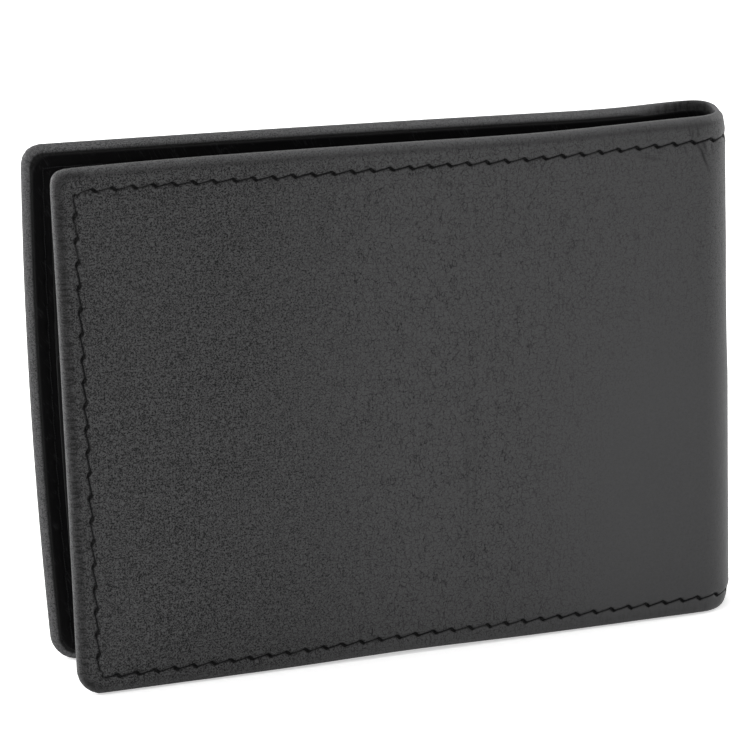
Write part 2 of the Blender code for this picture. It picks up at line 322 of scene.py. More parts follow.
def place(half, way, out, z):
    """Sheet coordinates to points: out from the half's plan along its normal, plus its warp, the waves of its
    edges and the bow of its free edge. The spine's bulge is a bell curve across it and its pinch one at each
    end. Both fade along the half."""
    s = shape()
    level = 2 * z / HEIGHT - 1
    way = way + half.own("edge") * (1 - level**2) * half.reach(way) ** 3
    x, y, nx, ny = half.path(way)
    out = out + drift(half, way, z)
    x, y = x + nx * out, half.side * (y + ny * out)
    fade = 1 - ease((way - half.straight) / (12 * MM))
    bulge = s.spine_bulge * hump(y, 3.2, 3.2)
    pinch = s.spine_pinch * (hump(z, 2.2) + 0.4 * hump(HEIGHT - z, 2.5))
    return np.stack([x + (bulge - pinch) * fade, MIDDLE_Y + y, z + lift(half, way, z)], -1)


def inner_share(half, way):
    """How much of the cover's inner half thickness is left: all of it on a half, less at the fold."""
    left = shape().fold_thinning
    return left + (1 - left) * ease((way - half.start - 2 * MM) / (7 * MM))


def lining_level(half, way):
    """Middle of the inner panel, just inside the cover."""
    return -EDGE_RADIUS * inner_share(half, way) - LAYER_AIR - PANEL_HALF_THICKNESS


def top_thread_level(half, way):
    """Middle of the top thread, sunk into the cover's face."""
    return EDGE_RADIUS - STITCH_SINK


def bobbin_thread_level(half, way):
    """Middle of the bobbin thread, on the inner panel."""
    return lining_level(half, way) - PANEL_HALF_THICKNESS - BOBBIN_AIR


def node_limits(half, node):
    """Way and z limits of a thin flat CAD node of one half, read from its box at rest."""
    low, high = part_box(node)
    far = (CREASE_X - low[0]) / math.cos(HALF_ANGLE)
    near = (CREASE_X - high[0]) / math.cos(HALF_ANGLE)
    return half.start + near, half.start + far, low[2], high[2]


def rim(reach, core, radius):
    """Edge of a sheet at an unrolled distance from the corner's centre line: level up to core, half a turn of
    radius, then back underneath. Gives the distance in plan and the height over the sheet's middle."""
    turn = np.clip((reach - core) / radius, 0, math.pi)
    under = np.maximum(reach - core - math.pi * radius, 0)
    return np.minimum(reach, core) + radius * np.sin(turn) - under, radius * np.cos(turn)


def edge_lines(core, radius, under, steps, fine):
    """Grid lines of one edge, as unrolled distances from the corner's centre line."""
    level = np.arange(fine, core, fine)
    turn = core + radius * np.linspace(0, math.pi, steps + 1)
    return np.concatenate([level[level < core - fine / 2], turn, turn[-1] + under * np.array([0.5, 1.0])])


def even_lines(low, high, step):
    """Grid lines from low to high, about a step apart."""
    return np.linspace(low, high, max(2, round((high - low) / step)) + 1)


class Sheet:
    """A closed sheet with rounded corners and a rolled edge, on one grid of lines.

    The grid covers the face, turns round the edge and ends a little way underneath. At a corner, a point at
    unrolled distances a and b from the corner's centre lines lies at ring radius rim(max(a, b)), in the
    direction of (a, b), so grid lines run on round the corner at the same distance from the edge. A ladder of
    quads and, beyond it, flat polygons close the back. Without way_low the sheet starts with a cut in the
    middle of the spine. Square is the power of the norm that rounds the upper corners: 2 for a circle, more
    for a squarer corner. Line and row are a point's way and z before its edge is rolled.
    """

    def __init__(
        self, half, way_low, way_high, z_low, z_high, corner, radius, step, fine, under, steps=10, square=2.0
    ):
        self.half, self.radius = half, radius
        self.open_fold = way_low is None
        core = corner - radius
        edge = edge_lines(core, radius, under, steps, fine)
        middle = (z_low + z_high) / 2
        tall = (z_high - z_low) / 2 - corner
        rows = np.concatenate([-tall - edge[::-1], even_lines(-tall, tall, step), tall + edge])
        low = 0.0 if self.open_fold else way_low + corner
        high = way_high - corner
        level = even_lines(low, high, step)
        before = [] if self.open_fold else [low - edge[::-1]]
        columns = np.concatenate([*before, level, high + edge])
        self.first = 0 if self.open_fold else len(edge)
        self.last = self.first + len(level) - 1

        line, row = np.meshgrid(columns, rows, indexing="ij")
        over = np.maximum(line - high, 0)
        if not self.open_fold:
            over = np.maximum(over, low - line)
        toward = np.where(line > (low + high) / 2, 1.0, -1.0)
        rise = np.maximum(np.abs(row) - tall, 0)
        ring, self.height = rim(np.maximum(over, rise), core, radius)
        power = np.where(row > 0, square, 2.0)
        tiny = 1e-12
        share = ring / np.maximum((over**power + rise**power) ** (1 / power), tiny)
        self.angle = np.where((over > 0) & (rise > 0), np.arctan2(rise, over), -1.0)
        self.way = line + toward * over * (np.where(over > 0, share, 1.0) - 1)
        self.z = middle + row + np.sign(row) * rise * (np.where(rise > 0, share, 1.0) - 1)
        self.line, self.row = line, middle + row
        self.face = ease(self.height / radius)

    def inset(self):
        """Distance inside the nearest edge, unrolled."""
        return np.minimum(self.half.end - self.line, np.minimum(self.row, HEIGHT - self.row))

    def noise(self, cell_way, cell_z, seed):
        return soft_noise(self.line, self.row, cell_way, cell_z, seed)

    def seam(self):
        """How far along the seam each point lies, counted in stitches, and how far inside the seam line."""
        half = self.half
        from_side = half.end - self.line - SIDE_INSET
        from_top = TOP_LINE - sag(half, self.line) - self.row
        from_bottom = self.row - BOTTOM_INSET
        nearest = np.minimum(from_top, from_bottom)
        a, b = np.maximum(SEAM_CORNER - from_side, 0), np.maximum(SEAM_CORNER - nearest, 0)
        off = np.where((a > 0) & (b > 0), SEAM_CORNER - np.hypot(a, b), np.minimum(from_side, nearest))
        top = np.minimum(self.line / half.top_pitch, TOP_STITCHES)
        side = TOP_STITCHES + np.clip(from_top / SIDE_PITCH, 0, SIDE_STITCHES)
        bottom = STITCHES - np.minimum(self.line / half.bottom_pitch, BOTTOM_STITCHES)
        count = np.where(from_side < nearest, side, np.where(from_top < from_bottom, top, bottom))
        return count, off

    def build(self, name, out, seam=True):
        """A mesh object from the grid of outward distances. Its back is level with the grid's ends."""
        rungs = 7
        across, down = self.way.shape
        points = [place(self.half, self.way, out, self.z).reshape(-1, 3)]
        index = np.arange(across * down).reshape(across, down)
        a, b, c, d = index[:-1, :-1], index[1:, :-1], index[1:, 1:], index[:-1, 1:]
        polygons = np.stack([a, b, c, d], -1).reshape(-1, 4).tolist()

        span = slice(self.first, self.last + 1)
        share = np.linspace(0, 1, rungs)[1:-1]
        z0, z1 = self.z[self.first, 0], self.z[self.first, -1]
        way, t = np.meshgrid(self.way[span, 0], share, indexing="ij")
        level = np.repeat(out[span, :1], rungs - 2, 1)
        points.append(place(self.half, way, level, z0 + (z1 - z0) * t).reshape(-1, 3))
        inner = across * down + np.arange(way.size).reshape(way.shape)
        ladder = np.concatenate([index[span, :1], inner, index[span, -1:]], 1)
        back = np.stack([ladder[:-1, :-1], ladder[:-1, 1:], ladder[1:, 1:], ladder[1:, :-1]], -1)
        polygons += back.reshape(-1, 4).tolist()

        near_rung = [int(np.argmin(np.abs(self.z[-1] - (z0 + (z1 - z0) * s)))) for s in share]
        cuts = [0, *near_rung, down - 1]
        ends = [(self.last, across - 1, ladder[-1])]
        if not self.open_fold:
            ends.append((self.first, 0, ladder[0]))
        for column, end, rung in ends:
            step = 1 if end > column else -1
            walk = list(range(column + step, end, step))
            for k in range(rungs - 1):
                border = index[end, cuts[k] : cuts[k + 1] + 1].tolist()
                if k == 0:
                    border = index[walk, 0].tolist() + border
                if k == rungs - 2:
                    border = border + index[walk[::-1], -1].tolist()
                polygons.append([int(rung[k]), *border, int(rung[k + 1])])
        if self.open_fold:
            polygons.append(index[0].tolist() + ladder[0, -2:0:-1].tolist())

        obj = new_mesh(name, np.concatenate(points), polygons)
        extra = len(obj.data.vertices) - across * down
        values = {"sheet_way": self.line, "sheet_z": self.row}
        if seam:
            count, off = self.seam()
            values |= {"seam_count": count, "seam_off": off / MM, "edge_distance": self.inset() / MM}
        for key, grid in values.items():
            write(obj, key, np.append(grid.ravel(), np.full(extra, FAR_OFF)))
        return obj


def write(obj, name, values):
    """Stores one number a point on the mesh."""
    attribute = obj.data.attributes.new(name, "FLOAT", "POINT")
    attribute.data.foreach_set("value", values.astype(np.float32))


def new_mesh(name, points, polygons):
    """A smooth closed mesh in the scene, with its faces turned outwards."""
    mesh = bpy.data.meshes.new(name)
    mesh.from_pydata(points.tolist(), [], polygons)
    work = bmesh.new()
    work.from_mesh(mesh)
    bmesh.ops.recalc_face_normals(work, faces=work.faces)
    work.to_mesh(mesh)
    work.free()
    mesh.shade_smooth()
    mesh.set_sharp_from_angle(angle=SHARP_ANGLE)
    mesh.validate()
    return new_object(name, mesh)


def new_object(name, data):
    """An object in the scene, at the origin."""
    obj = bpy.data.objects.new(name, data)
    bpy.context.scene.collection.objects.link(obj)
    return obj


def stray(fraction):
    """Sideways place of the thread: after a hole it lies on the edge's side of the seam line, drifts over to
    the inner side, and crosses back at the next hole."""
    fraction = fraction - np.floor(fraction)
    drifting = (fraction - HOLE_LENGTH) / (1 - 2 * HOLE_LENGTH) * 2 - 1
    before = -fraction / HOLE_LENGTH
    after = (1 - fraction) / HOLE_LENGTH
    side = np.where(fraction < HOLE_LENGTH, before, np.where(after < 1, after, drifting))
    return shape().stitch_slant * side


def seam_relief(count, off):
    """Height of the leather along the seam: a broad valley, a narrow groove along the thread, a slanted pit
    at each hole and a pad of leather on both sides of each stitch."""
    fraction = count - np.floor(count)
    from_hole = np.where(fraction > 0.5, fraction - 1, fraction) * SIDE_PITCH
    valley = -0.08 * hump(off, 1.2)
    groove = -0.1 * hump(off - stray(count), 0.22)
    pit = -0.45 * hump(from_hole, 0.4) * hump(off + from_hole * 0.45, 0.26)
    sides = hump(off, 0.5, 0.85) + hump(off, 0.5, -0.85)
    pads = 0.09 * np.sin(math.pi * fraction) ** 2 * sides
    return MM * (valley + groove + pit + pads)


def seam_point(half, count, off):
    """Way and z of a point of the seam. A hole sits at each corner, so a stitch follows one edge."""
    middle = np.floor(count.mean(axis=-1, keepdims=True))
    on_top, on_bottom = middle < TOP_STITCHES, middle >= SIDE_END
    top, bottom = count * half.top_pitch, (STITCHES - count) * half.bottom_pitch
    way = np.where(on_top, top, np.where(on_bottom, bottom, half.end - SIDE_INSET - off))
    side = TOP_LINE - (count - TOP_STITCHES) * SIDE_PITCH
    upper = TOP_LINE - sag(half, way) - off
    z = np.where(on_top, upper, np.where(on_bottom, BOTTOM_INSET + off, side))
    return way, z


def unit(vectors):
    return vectors / np.linalg.norm(vectors, axis=-1, keepdims=True)


def stitch_tubes(half, holes, radius, level, dive, facing):
    """Points and polygons of one bent tube for each stitch, and how far along and round it each point is. A
    stitch leaves one hole, crosses from one side of the seam line to the other, and goes down into the next
    hole: out = level - dive * |2f - 1|^7 over fraction f. The tube is a little flat."""
    rings, sides, end_gap, flatness = 9, 6, 0.12, 0.8
    slant = 1.0 if facing > 0 else 0.35
    fraction = 0.5 - 0.5 * np.cos(np.linspace(end_gap, math.pi - end_gap, rings))
    count = holes[:, None] + fraction[None, :]
    way, z = seam_point(half, count, stray(count) * slant)
    out = level(half, way) - facing * dive * np.abs(2 * fraction - 1) ** 7
    centre = place(half, way, out, z)
    tangent = np.gradient(centre, axis=1)
    across = unit(np.cross(tangent, place(half, way, out + facing * 0.1 * MM, z) - centre))
    normal = unit(np.cross(across, tangent))
    angle = np.arange(sides) * 2 * math.pi / sides
    wide, high = np.cos(angle)[:, None], flatness * np.sin(angle)[:, None]
    ring = centre[:, :, None] + radius * (wide * across[:, :, None] + high * normal[:, :, None])
    index = np.arange(ring[..., 0].size).reshape(ring.shape[:3])
    around = np.roll(index, -1, axis=2)
    quads = np.stack([index[:, :-1], around[:, :-1], around[:, 1:], index[:, 1:]], -1)
    polygons = quads.reshape(-1, 4).tolist() + index[:, 0].tolist() + index[:, -1].tolist()
    along = np.broadcast_to(fraction[None, :, None], index.shape)
    turn = np.broadcast_to(np.arange(sides)[None, None, :] / sides, index.shape)
    return ring.reshape(-1, 3), polygons, along.ravel(), turn.ravel()


def add_stitches(name, rows, *thread):
    """One mesh for several rows of stitches, each given as a half and the numbers of its holes."""
    points, tubes, along, turn = zip(*(stitch_tubes(half, holes, *thread) for half, holes in rows))
    polygons, start = [], 0
    for row_points, made in zip(points, tubes):
        polygons += [[start + i for i in polygon] for polygon in made]
        start += len(row_points)
    obj = new_mesh(name, np.concatenate(points), polygons)
    write(obj, "thread_along", np.concatenate(along))
    write(obj, "thread_turn", np.concatenate(turn))
    return obj


def blend_over_crease(obj, half):
    """Works out where the bend starts and where it ends on the outer face, but leaves these unused: it bends
    nothing and only bakes the piece's placement into its mesh.
    """
    outer = half.bend + EDGE_RADIUS
    x = CREASE_X - half.bend
    start_y = half.side * (half.straight + outer * math.sin(half.turn))
    start = (x + outer * math.cos(half.turn), MIDDLE_Y + start_y, 0.0)
    end = (x + outer, MIDDLE_Y + half.side * half.straight, 0.0)
    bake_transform(obj)


class Value:
    """A socket of a shader tree. Arithmetic on it adds Math nodes."""

    def __init__(self, tree, socket):
        self.tree, self.socket = tree, socket

    def __add__(self, other):
        return self.tree.math("ADD", self, other)

    def __sub__(self, other):
        return self.tree.math("SUBTRACT", self, other)

    def __rsub__(self, other):
        return self.tree.math("SUBTRACT", other, self)

    def __mul__(self, other):
        return self.tree.math("MULTIPLY", self, other)

    def __truediv__(self, other):
        return self.tree.math("DIVIDE", self, other)

    __radd__ = __add__


class Finish:
    """The shader tree of a material or the world, and short ways to add the nodes that feed it. Noise scales
    are in cells a metre."""

    def __init__(self, owner, shader="Principled BSDF"):
        owner.use_nodes = True
        self.nodes = owner.node_tree.nodes
        self.links = owner.node_tree.links
        self.shader = self.nodes[shader]

    def node(self, kind, inputs=None, output=0, **settings):
        """Adds a node: its settings first, then the values or links of its sockets. Gives one output."""
        made = self.nodes.new("ShaderNode" + kind)
        for key, value in settings.items():
            setattr(made, key, value)
        for key, value in (inputs or {}).items():
            self.feed(made.inputs[key], value)
        return Value(self, made.outputs[output])

    def feed(self, socket, value):
        """Links a Value to the socket, or sets the socket to a constant."""
        if isinstance(value, Value):
            self.links.new(value.socket, socket)
        else:
            socket.default_value = value

    def shade(self, **values):
        """Feeds sockets of the shader, which are named with _ for a space."""
        for key, value in values.items():
            self.feed(self.shader.inputs[key.replace("_", " ")], value)

    def math(self, operation, a, b=0.0, c=0.0, clamp=False):
        return self.node("Math", {0: a, 1: b, 2: c}, operation=operation, use_clamp=clamp)

    def vector_math(self, operation, a, b):
        return self.node("VectorMath", {0: a, 1: b}, operation=operation)

    def clamp(self, value):
        return self.math("ADD", value, 0.0, clamp=True)

    def ramp(self, value, low, high):
        """Smooth rise from 0 at low to 1 at high."""
        limits = {"Value": value, "From Min": low, "From Max": high}
        return self.node("MapRange", limits, interpolation_type="SMOOTHSTEP")

    def bell(self, value, width):
        """Bell curve of height 1 where value is 0."""
        scaled = value / width
        return self.math("POWER", math.e, scaled * scaled * -1.0)

    def attribute(self, name):
        return self.node("Attribute", output="Fac", attribute_name=name)

    def vector(self, x, y, z=0.0):
        return self.node("CombineXYZ", {0: x, 1: y, 2: z})

    def parts(self, vector, axes):
        return [self.node("SeparateXYZ", {0: vector}, output=axis) for axis in axes]

    def point(self):
        """Place of the shaded point in the object's coordinates."""
        return self.node("TexCoord", output="Object")

    def sheet(self):
        """Way and z of the shaded point, and both as one vector."""
        way, z = self.attribute("sheet_way"), self.attribute("sheet_z")
        return way, z, self.vector(way, z)

    def noise(self, vector, scale, detail=2.0, rough=0.5, output=0):
        values = {"Vector": vector, "Scale": scale, "Detail": detail, "Roughness": rough}
        return self.node("TexNoise", values, output=output)

    def shift(self, vector, amount, scale, seed):
        """Moves a vector about by smooth noise, so that a pattern on it loses its straight lines."""
        seeded = self.vector_math("ADD", vector, (seed, seed * 0.7, 0.0))
        wander = self.noise(seeded, scale, output="Color")
        centred = self.vector_math("SUBTRACT", wander, (0.5, 0.5, 0.5))
        scaled = self.node("VectorMath", {0: centred, "Scale": amount}, operation="SCALE")
        return self.vector_math("ADD", vector, scaled)

    def cracks(self, vector, cell, width, dimensions):
        """Dark lines of a cracked grain: 1 on the borders between cells of that size, 0 inside them."""
        border = self.node(
            "TexVoronoi", {"Vector": vector, "Scale": 1.0 / cell, "Randomness": 1.0},
            feature="DISTANCE_TO_EDGE", voronoi_dimensions=dimensions, output="Distance",
        )
        return 1.0 - self.ramp(border, 0.0, width)

    def contours(self, vector, scale, width):
        """Worm-like marks: 1 where smooth noise passes its middle value, 0 where it is a width off."""
        return self.ramp(self.math("ABSOLUTE", self.noise(vector, scale) - 0.5), width, 0.0)

    def stroke(self, x, z, ends, width):
        """A short line between two points: 1 on it, fading to both sides and towards its ends."""
        x0, z0, x1, z1 = ends
        run = math.hypot(x1 - x0, z1 - z0)
        u, v = (x1 - x0) / run, (z1 - z0) / run
        dx, dz = x - x0, z - z0
        return self.bell(dx * v - dz * u, width) * self.bell((dx * u + dz * v) / run - 0.5, 0.42)

    def tint(self, color, factor):
        """The colour times a factor that changes over the surface."""
        return self.vector_math("MULTIPLY", tuple(color), self.vector(factor, factor, factor))

    def dress(self, color, factor, roughness, height, depth, specular):
        """Feeds the shader: colour times factor, roughness, and a bump of this depth for heights 0 to 1."""
        bump = self.node("Bump", {"Height": height, "Strength": 1.0, "Distance": depth})
        self.shade(
            Base_Color=self.tint(color, factor), Roughness=roughness, Specular_IOR_Level=specular, Normal=bump
        )

    def seen(self):
        """1 for a ray that shows the surface to the camera, straight or by reflection."""
        kinds = ("Camera", "Glossy", "Transmission")
        return self.clamp(sum(self.node("LightPath", output=f"Is {kind} Ray") for kind in kinds))


def cover_grain(f, way, z, sheet, edge):
    """The grain, 1 in a mark: worm-like lines, dots, borders of cells and drawn lines. It fades towards the
    fold's foot and on the rolled edge. With it come a mottle for the colour and its patches."""
    patches = f.noise(sheet, 60.0, 3.0)
    fibres = f.noise(f.vector(way * 2.2, z), 330.0, 3.0)
    gaps = f.noise(sheet, 1500.0)
    far = f.ramp(way, 50 * MM, 84 * MM)
    near = f.ramp(way, 44 * MM, 12 * MM)
    low = f.ramp(z, 62 * MM, 20 * MM)
    calm = f.clamp(near * (0.35 + low * 0.6))
    worms = f.contours(sheet, 2500.0, 0.075) * f.ramp(gaps, 0.4, 0.52)
    dots = f.ramp(f.noise(sheet, 4300.0, 1.0), 0.55, 0.63)
    net = f.cracks(f.shift(sheet, 0.6 * MM, 1500.0, 0.31), 0.7 * MM, 0.16, "2D") * f.ramp(gaps, 0.56, 0.44)
    drawn = f.contours(f.vector(way, z * 0.3), 1700.0, 0.045) * f.ramp(fibres, 0.4, 0.62)
    grain = worms * (0.3 + far * 0.65) + dots * (0.25 + far * 0.5) + net * (0.7 - far * 0.3)
    strength = (0.8 + far * 0.18 - calm) * (0.72 + patches * 0.38)
    grain = f.clamp(grain + drawn * (0.6 - far * 0.6)) * f.clamp(strength)
    grain = grain * (1.0 - f.ramp(edge, 1.6, 0.8) * 0.35) + dots * 0.08
    mottle = 0.84 - calm * 0.17 + patches * 0.12 + fibres * 0.08 + f.noise(sheet, 2100.0) * 0.24
    return grain, mottle, patches


def cover_edge(f, z, count, off, edge):
    """The rolled edge: fine cross wrinkles, mostly at the free edge, whose darkening of the colour is painted
    shade, and the painted shade of the hollow beside it, narrow at the top, deep at the free edge and absent
    at the bottom."""
    on_bottom = f.ramp(count, SIDE_END, SIDE_END + 1.0)
    on_side = f.ramp(count, TOP_STITCHES - 1.0, TOP_STITCHES) * (1.0 - on_bottom)
    along = f.vector(count * (2.6 * SIDE_PITCH), off * (0.4 * MM))
    # Wrinkle marks: a bump, plus painted shade in their creases
    wrinkle = f.ramp(f.noise(along, 950.0), 0.48, 0.6) * f.bell(edge - 0.95, 0.75)
    wrinkle = wrinkle * (0.15 + on_side * 0.85)
    narrow = f.bell(edge - 1.15, 0.36) * (1.0 - on_side)
    deep = on_side * (0.44 + f.ramp(z, 40 * MM, 68 * MM) * 0.14)
    # Painted shade of the hollow beside the rolled edge
    hollow = (narrow * 0.34 + f.bell(edge - 0.9, 0.6) * deep) * (1.0 - on_bottom)
    return wrinkle, hollow


def cover_creases(f, sheet):
    """The creases of the table, on a sheet that is moved about a little. They bump the leather and darken its
    colour as painted shade.
    """
    x, z = (part / MM for part in f.parts(f.shift(sheet, 0.7 * MM, 450.0, 0.7), "XY"))
    # Each crease both bumps the leather and darkens it as painted shade
    return sum(f.stroke(x, z, ends, width) * depth for *ends, width, depth in CREASES)


def cover_seam(f, count, off):
    """The seam: the groove along the slanted thread and the slanted pit at each hole, both darkened with
    painted shade, and how tight the leather is drawn round the hole."""
    slant = shape().stitch_slant / MM
    from_hole = f.math("WRAP", count, 0.5, -0.5)
    drifting = f.math("FRACT", count) * 2.0 - 1.0
    line = off - f.clamp(drifting / (1 - 2 * HOLE_LENGTH) * 0.5 + 0.5) * (2 * slant) + slant
    # Painted shade along the groove
    groove = f.bell(line, 0.15) * (1.0 - f.bell(from_hole, HOLE_LENGTH * 0.7))
    signed = from_hole * (SIDE_PITCH / MM)
    across = off + signed * 0.5
    # Painted shade in the pit at each hole
    pit = f.ramp(signed * signed * 4.6 + across * across * 10.5, 1.5, 0.7)
    tight = f.bell(off, 0.75) * f.bell(signed, 0.75)
    return groove, pit, tight


def cover_inside_painted_light(f, way, z, edge):
    """Painted light on the turned edge's inner side: a painted highlight where it rolls over, streaks of
    painted shade at the fold, then painted shade that leaves it nearly black.
    """
    fold = f.ramp(way, 16 * MM, 8 * MM)
    # Painted shade: the inner side goes nearly black, later near the fold
    dark = f.ramp(edge + fold * 1.1, -2.25, -2.65)
    upright = f.ramp(f.noise(f.vector(way, z * 0.25), 1500.0), 0.45, 0.6)
    # Upright streaks of painted shade near the fold
    streak_shade = upright * fold * f.ramp(edge, -0.9, -1.6)
    # Painted highlight where the edge rolls over, turning to painted shade near the fold
    bright = f.ramp(edge, -1.2, -2.0) * (0.8 - fold * 1.3)
    return (1.0 - dark * 0.96) * (1.0 - streak_shade * 0.6) * (1.0 + bright)


def cover_leather(f):
    """Charcoal leather: fine grain, the rolled edge, a few creases, and the groove and pits of the seam.
    Painted shade darkens the creases, the edge's wrinkles and hollow, the groove and the pits, and painted
    light lies on the edge's inner side.
    """
    way, z, sheet = f.sheet()
    count, off, edge = (f.attribute(name) for name in ("seam_count", "seam_off", "edge_distance"))
    grain, mottle, patches = cover_grain(f, way, z, sheet, edge)
    wrinkle, hollow = cover_edge(f, z, count, off, edge)
    crease = cover_creases(f, sheet)
    groove, pit, tight = cover_seam(f, count, off)
    shade = f.math("MAXIMUM", 1.16 - grain * 1.25, 0.08) * mottle
    # Painted shade: the groove, the pits, the edge's wrinkles and its hollow darken the colour
    shade = shade * (1.0 - groove * 0.9) * (1.0 - pit * 0.95) * (1.0 - wrinkle * 0.75) * (1.0 - hollow)
    # Painted shade in the creases, and the painted shade and highlight of the edge's inner side
    shade = shade * (1.0 - f.clamp(crease) * 0.85) * cover_inside_painted_light(f, way, z, edge)
    height = 0.0 - grain * 0.8 - wrinkle * 0.9 - groove * 1.3 - pit * 2.0 - tight * 0.2 - crease * 1.4
    height = height + f.noise(sheet, 620.0) * 0.7
    roughness = f.clamp(0.5 + grain * 0.2 + patches * 0.08)
    f.dress(colours().cover, shade, roughness, height, 0.1 * MM, specular=0.2)


def slot_leather(f):
    """Thin smooth leather of the card slots: shallow grain, soft mottling."""
    point = f.point()
    grain = f.cracks(f.shift(point, 0.3 * MM, 900.0, 0.31), 0.45 * MM, 0.16, "3D")
    patches = f.noise(point, 70.0, 3.0)
    pores = f.noise(point, 4200.0)
    shade = f.clamp(1.05 - grain * 0.25) * (0.88 + patches * 0.24)
    height = pores * 0.2 - grain * 0.5 + f.noise(point, 500.0) * 0.6
    roughness = f.clamp(0.55 + grain * 0.1 + patches * 0.08)
    f.dress(colours().slot, shade, roughness, height, 0.05 * MM, specular=0.1)


def lining_leather(f):
    """Black lining with faint slanted scratches and soft upright wrinkles. Its near black colour is partly
    painted shade of the closed wallet's inside.
    """
    way, z, sheet = f.sheet()
    patches = f.noise(sheet, 70.0, 3.0)
    upright = f.noise(f.vector(way, z * 0.12), 1100.0)
    tilted = f.node("VectorRotate", {"Vector": sheet, "Angle": 0.5}, rotation_type="Z_AXIS")
    squeezed = f.vector_math("MULTIPLY", tilted, (1.0, 0.12, 1.0))
    scratches = f.contours(squeezed, 1500.0, 0.03) * f.ramp(f.noise(sheet, 420.0), 0.46, 0.6)
    shade = 0.8 + patches * 0.3 + scratches * 2.0
    height = upright * 0.8 + f.noise(sheet, 500.0) * 0.6
    f.dress(colours().lining, shade, 0.7 + patches * 0.08, height, 0.08 * MM, specular=0.03)


def pocket_cloth(f):
    """Plain woven cloth: two sets of threads, each over and under the other. The colour darkens where a
    thread dips under, as painted shade.
    """
    point = f.point()
    turns = 2 * math.pi / (0.36 * MM)
    warp, weft = (f.math("SINE", part * turns) for part in f.parts(point, "XZ"))
    over = warp * weft * 0.5 + 0.5
    fuzz = f.noise(point, 6000.0)
    # Painted shade of the weave: darker where a thread dips under
    shade = 0.7 + over * 0.4 + fuzz * 0.1
    f.dress(colours().cloth, shade, 0.92, over + fuzz * 0.4, 0.05 * MM, specular=0.2)


def filler_board(f):
    """Pressed fibre board: short fibres and small flecks."""
    point = f.point()
    fibres = f.noise(point, 900.0, 5.0, 0.7)
    flecks = f.ramp(f.noise(point, 2600.0, 1.0), 0.62, 0.72)
    f.dress(colours().board, 0.85 + fibres * 0.3 - flecks * 0.3, 0.92, fibres, 0.08 * MM, specular=0.2)


def waxed_thread(f):
    """Twisted thread: slanted plies round the tube, and a dull wax. The colour darkens between the plies, as
    painted shade.
    """
    along, turn = f.attribute("thread_along"), f.attribute("thread_turn")
    plies = f.math("SINE", (along * 9.0 + turn) * (2 * math.pi)) * 0.5 + 0.5
    fuzz = f.noise(f.point(), 7000.0)
    roughness = 0.6 + fuzz * 0.2
    # Painted shade between the plies
    f.dress(colours().thread, 0.6 + plies * 0.6, roughness, plies + fuzz * 0.3, 0.05 * MM, specular=0.1)


MAKERS = {
    "cover_leather": cover_leather, "lining_leather": lining_leather, "slot_leather": slot_leather,
    "pocket_cloth": pocket_cloth, "filler_board": filler_board,
    "seam_thread": waxed_thread, "bobbin_thread": waxed_thread,
}


def give_material(obj, slot):
    """Gives the piece its slot and the slot's material, which is made when it is first asked for."""
    name = f"wallet_{slot}"
    material = bpy.data.materials.get(name)
    if material is None:
        material = bpy.data.materials.new(name)
        MAKERS[slot](Finish(material))
    obj.data.materials.append(material)


class WALLET_OT_cover(bpy.types.Operator):
    """Builds the outer leather, one piece for each half, meeting in the middle of the spine"""

    bl_idname = "wallet.cover"
    bl_label = "Cover"

    def execute(self, context):
        for half in HALVES:
            sheet = Sheet(
                half, None, half.end, -FOOT_TRIM, HEIGHT, CORNER_RADIUS, EDGE_RADIUS, 0.37 * MM, 0.17 * MM,
                under=1.2 * MM, square=half.square,
            )
            out = self.relief(sheet)
            sheet.z = np.maximum(sheet.z, 0.0)
            obj = sheet.build(f"{half.name}_cover", out)
            give_material(obj, "cover_leather")
            blend_over_crease(obj, half)
            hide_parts(*(["cover_front", "cover_spine"] if half.side == FRONT else ["cover_rear"]))
        return {"FINISHED"}

    def relief(self, sheet):
        """Outward distance of the cover: its thickness, the seam, the hollow beside the rolled edge, soft
        undulations and the puckers under the top row."""
        half, way, inset = sheet.half, sheet.line, sheet.inset()
        seed = 20 + half.side
        count, off = sheet.seam()
        level = np.where(sheet.height < 0, sheet.height * inner_share(half, sheet.way), sheet.height)
        on_bottom = ease(count - SIDE_END)
        on_side = ease(count - (TOP_STITCHES - 1)) * (1 - on_bottom)
        hollow = -(0.06 + 0.16 * on_side - 0.05 * on_bottom) * MM * hump(inset, 0.45, 1.15)
        hollow *= 1 + 0.4 * sheet.noise(2.2, 2.2, seed)
        broad = 0.16 * MM * sheet.noise(19, 16, seed + 10)
        broad += 0.05 * MM * sheet.noise(6, 7, seed + 20)
        inside = ease(inset / (9 * MM))
        below_top = TOP_LINE - sheet.row
        pucker = 0.035 * MM * sheet.noise(0.9, 9, seed + 30)
        pucker *= hump(below_top, 8, 2) * ease((70 * MM - way) / (50 * MM)) * ease(below_top / MM)
        roll = 0.05 * MM * sheet.noise(3.5, 3.5, seed + 40) * (1 - inside)
        calm = ease(way / (2 * MM))
        soft = calm * (hollow + broad * inside + pucker + roll)
        return level + sheet.face * (soft + seam_relief(count, off)) + self.pleats(sheet)

    def pleats(self, sheet):
        """Folds of the hem at the free corners: narrow valleys that point at the corner's centre."""
        valley = sum(np.exp(-(((sheet.angle - turn) / PLEAT_WIDTH) ** 2)) for turn in PLEAT_TURNS)
        on_roll = ease(1 - (sheet.height - 0.2 * EDGE_RADIUS) / EDGE_RADIUS)
        return np.where(sheet.angle < 0, 0.0, PLEAT_DEPTH * valley * on_roll)


